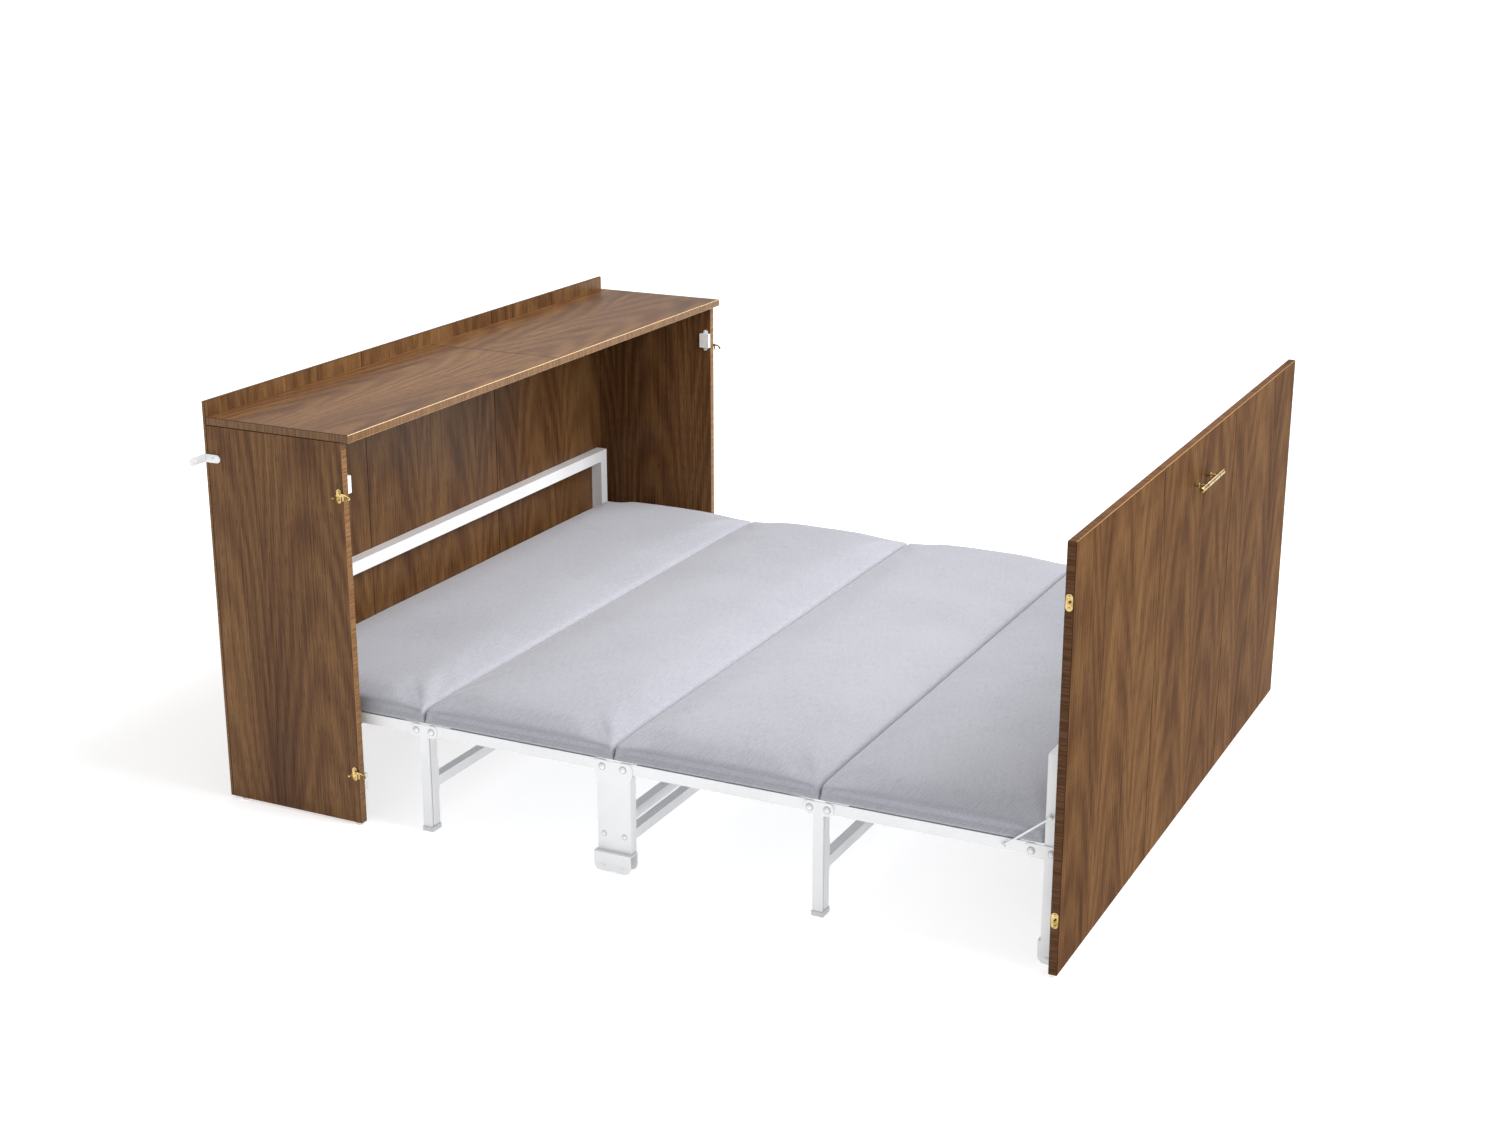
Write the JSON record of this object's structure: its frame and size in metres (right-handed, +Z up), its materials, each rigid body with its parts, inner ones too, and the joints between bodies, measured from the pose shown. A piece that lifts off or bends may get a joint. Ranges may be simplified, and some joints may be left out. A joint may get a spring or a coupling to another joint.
{
  "type": "folding cabinet bed",
  "caption": "Sideboard cabinet whose front panel pulls out with a hinged, padded steel bed frame that stands on legs and rollers and folds back into the cabinet.",
  "frame": {"origin": "on the floor, under the middle of the open bed's bounding box", "axes": "+X to the right of someone who faces the handle and the front panel from outside, +Y along the bed from the front panel to the cabinet's back, +Z up"},
  "size_m": [1.848, 2.0291, 0.939],
  "materials": {
    "walnut": "walnut-patterned laminate on board, semi-gloss",
    "back_board": "thin walnut-patterned board, satin",
    "birch": "plain plywood, matt",
    "white_steel": "white powder coat on steel tube and plate",
    "pad_cloth": "pale grey woven cover over foam",
    "brass": "polished",
    "white_plastic": "moulded, matt",
    "grey_plastic": "moulded, matt"
  },
  "bodies": {
    "cabinet": {"side_panel_left": "walnut", "side_panel_right": "walnut", "back_board_left": "back_board", "back_board_middle": "back_board", "back_board_right": "back_board", "top_board_left": "walnut", "top_board_right": "walnut", "top_batten": "birch", "magnetic_catch_left_upper": "white_plastic", "magnetic_catch_left_lower": "white_plastic", "magnetic_catch_right_upper": "white_plastic", "magnetic_catch_right_lower": "white_plastic", "wall_bracket_left": "white_steel", "wall_bracket_right": "white_steel", "head_frame": "white_steel", "hook_plate_left_upper": "brass", "hook_plate_left_lower": "brass", "hook_plate_right_upper": "brass", "hook_plate_right_lower": "brass"},
    "section_1": {"section_1_frame": "white_steel", "section_1_deck": "birch", "section_1_pad": "pad_cloth"},
    "leg_1_2": {"leg_1_2_frame": "white_steel", "leg_1_2_foot_left": "grey_plastic", "leg_1_2_foot_right": "grey_plastic"},
    "section_2": {"section_2_frame": "white_steel", "section_2_deck": "birch", "section_2_pad": "pad_cloth"},
    "carriage": {"carriage_frame": "white_steel"},
    "section_3": {"section_3_frame": "white_steel", "section_3_deck": "birch", "section_3_pad": "pad_cloth"},
    "leg_3_4": {"leg_3_4_frame": "white_steel", "leg_3_4_foot_left": "grey_plastic", "leg_3_4_foot_right": "grey_plastic"},
    "section_4": {"section_4_frame": "white_steel", "section_4_deck": "birch", "section_4_pad": "pad_cloth"},
    "foot": {"foot_frame": "white_steel", "front_panel_left": "walnut", "front_panel_middle": "walnut", "front_panel_right": "walnut", "handle": "brass", "stud_plate_left_upper": "brass", "stud_plate_left_lower": "brass", "stud_plate_right_upper": "brass", "stud_plate_right_lower": "brass"},
    "stay_left": {"stay_left": "white_steel"},
    "stay_right": {"stay_right": "white_steel"},
    "carriage_wheel_left_back": {"carriage_wheel_left_back": "grey_plastic"},
    "carriage_wheel_left_front": {"carriage_wheel_left_front": "grey_plastic"},
    "carriage_wheel_right_back": {"carriage_wheel_right_back": "grey_plastic"},
    "carriage_wheel_right_front": {"carriage_wheel_right_front": "grey_plastic"},
    "foot_wheel_left": {"foot_wheel_left": "grey_plastic"},
    "foot_wheel_right": {"foot_wheel_right": "grey_plastic"},
    "hook_left_upper": {"hook_left_upper": "brass"},
    "hook_left_lower": {"hook_left_lower": "brass"},
    "hook_right_upper": {"hook_right_upper": "brass"},
    "hook_right_lower": {"hook_right_lower": "brass"}
  },
  "joints": [
    {"name": "bed_fold", "type": "hinge", "parent": "cabinet", "child": "section_1", "pos_m": [0, 0.9486, 0.24], "axis": [-1, 0, 0], "range_deg": [0, 86.07], "deforming": ["section_1_pad", "section_2_pad", "section_3_pad", "section_4_pad"]},
    {"name": "leg_1_2_fold", "type": "hinge", "parent": "section_1", "child": "leg_1_2", "pos_m": [0, 0.51685, 0.24], "axis": [-1, 0, 0], "range_deg": [-86.07, 0]},
    {"name": "section_2_fold", "type": "hinge", "parent": "leg_1_2", "child": "section_2", "pos_m": [0, 0.47785, 0.24], "axis": [-1, 0, 0], "range_deg": [-86.07, 0]},
    {"name": "carriage_fold", "type": "hinge", "parent": "section_2", "child": "carriage", "pos_m": [0, 0.0461, 0.24], "axis": [-1, 0, 0], "range_deg": [0, 86.07]},
    {"name": "section_3_fold", "type": "hinge", "parent": "carriage", "child": "section_3", "pos_m": [0, -0.0039, 0.24], "axis": [-1, 0, 0], "range_deg": [0, 86.07]},
    {"name": "leg_3_4_fold", "type": "hinge", "parent": "section_3", "child": "leg_3_4", "pos_m": [0, -0.43565, 0.24], "axis": [-1, 0, 0], "range_deg": [-86.07, 0]},
    {"name": "section_4_fold", "type": "hinge", "parent": "leg_3_4", "child": "section_4", "pos_m": [0, -0.47465, 0.24], "axis": [-1, 0, 0], "range_deg": [-86.07, 0]},
    {"name": "foot_fold", "type": "hinge", "parent": "section_4", "child": "foot", "pos_m": [0, -0.9064, 0.24], "axis": [-1, 0, 0], "range_deg": [0, 86.07]},
    {"name": "stay_left_swing", "type": "hinge", "parent": "section_4", "child": "stay_left", "pos_m": [-0.8306, -0.8503, 0.24], "axis": [-1, 0, 0], "range_deg": [0, 141.06]},
    {"name": "stay_right_swing", "type": "hinge", "parent": "section_4", "child": "stay_right", "pos_m": [0.8306, -0.8503, 0.24], "axis": [-1, 0, 0], "range_deg": [0, 141.06]},
    {"name": "carriage_wheel_left_back_spin", "type": "hinge", "parent": "carriage", "child": "carriage_wheel_left_back", "pos_m": [-0.8267, 0.0426, 0.0142], "axis": [1, 0, 0], "continuous": true},
    {"name": "carriage_wheel_left_front_spin", "type": "hinge", "parent": "carriage", "child": "carriage_wheel_left_front", "pos_m": [-0.8267, -0.0004, 0.0142], "axis": [1, 0, 0], "continuous": true},
    {"name": "carriage_wheel_right_back_spin", "type": "hinge", "parent": "carriage", "child": "carriage_wheel_right_back", "pos_m": [0.8267, 0.0426, 0.0142], "axis": [1, 0, 0], "continuous": true},
    {"name": "carriage_wheel_right_front_spin", "type": "hinge", "parent": "carriage", "child": "carriage_wheel_right_front", "pos_m": [0.8267, -0.0004, 0.0142], "axis": [1, 0, 0], "continuous": true},
    {"name": "foot_wheel_left_spin", "type": "hinge", "parent": "foot", "child": "foot_wheel_left", "pos_m": [-0.8155, -0.9451, 0.0142], "axis": [1, 0, 0], "continuous": true},
    {"name": "foot_wheel_right_spin", "type": "hinge", "parent": "foot", "child": "foot_wheel_right", "pos_m": [0.8155, -0.9451, 0.0142], "axis": [1, 0, 0], "continuous": true},
    {"name": "hook_left_upper_lift", "type": "hinge", "parent": "cabinet", "child": "hook_left_upper", "pos_m": [-0.87405, 0.6541, 0.7715], "axis": [-1, 0, 0], "range_deg": [0, 100]},
    {"name": "hook_left_lower_lift", "type": "hinge", "parent": "cabinet", "child": "hook_left_lower", "pos_m": [-0.87405, 0.6541, 0.1291], "axis": [-1, 0, 0], "range_deg": [0, 100]},
    {"name": "hook_right_upper_lift", "type": "hinge", "parent": "cabinet", "child": "hook_right_upper", "pos_m": [0.87405, 0.6541, 0.7715], "axis": [-1, 0, 0], "range_deg": [0, 100]},
    {"name": "hook_right_lower_lift", "type": "hinge", "parent": "cabinet", "child": "hook_right_lower", "pos_m": [0.87405, 0.6541, 0.1291], "axis": [-1, 0, 0], "range_deg": [0, 100]}
  ],
  "couplings": [
    {"joint": "leg_1_2_fold", "follows": "bed_fold", "ratio": -1},
    {"joint": "section_2_fold", "follows": "bed_fold", "ratio": -1},
    {"joint": "carriage_fold", "follows": "bed_fold", "ratio": 1},
    {"joint": "section_3_fold", "follows": "bed_fold", "ratio": 1},
    {"joint": "leg_3_4_fold", "follows": "bed_fold", "ratio": -1},
    {"joint": "section_4_fold", "follows": "bed_fold", "ratio": -1},
    {"joint": "foot_fold", "follows": "bed_fold", "ratio": 1},
    {"joint": "stay_left_swing", "follows": "bed_fold", "ratio": 1.6389},
    {"joint": "stay_right_swing", "follows": "bed_fold", "ratio": 1.6389}
  ]
}
